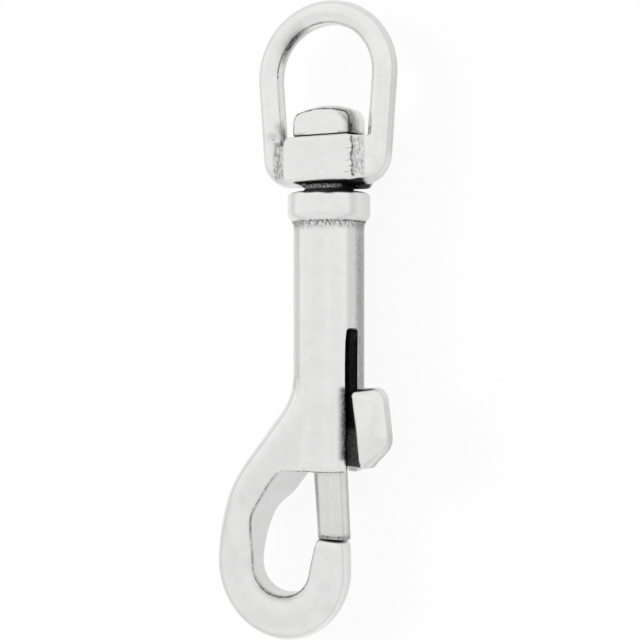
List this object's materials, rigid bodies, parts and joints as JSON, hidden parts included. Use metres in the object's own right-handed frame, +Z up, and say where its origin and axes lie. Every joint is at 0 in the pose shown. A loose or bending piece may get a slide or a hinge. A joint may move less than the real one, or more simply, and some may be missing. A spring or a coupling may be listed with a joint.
{
  "type": "swivel snap hook",
  "caption": "Cast stainless bolt snap hook with a swivelling eye and a sprung sliding bolt moved by a thumb piece.",
  "frame": {"origin": "centre of the bounding box seen from above, at the level of the lowest point, with the hook lying on its back as loose hardware", "axes": "+Y along the barrel towards the swivel eye, +X from the hook's bow towards the thumb piece, +Z up out of the front face"},
  "size_m": [0.0316, 0.0998, 0.0128],
  "materials": {
    "cast_steel": "polished cast stainless steel",
    "bolt_steel": "polished cast stainless steel",
    "spring_wire": "drawn spring wire"
  },
  "bodies": {
    "snap_body": {"body": "cast_steel"},
    "eye": {"swivel_eye": "cast_steel"},
    "slider": {"bolt": "bolt_steel", "spring": "spring_wire"}
  },
  "joints": [
    {"name": "eye_swivel", "type": "hinge", "parent": "snap_body", "child": "eye", "pos_m": [0.00344, 0.0245, 0.0064], "axis": [0, 1, 0], "continuous": true},
    {"name": "bolt_slide", "type": "slide", "parent": "snap_body", "child": "slider", "axis": [0, 1, 0], "range_m": [0, 0.0093], "stiffness_N_per_m": 400, "springref_m": -0.006, "deforming": ["spring"]}
  ]
}
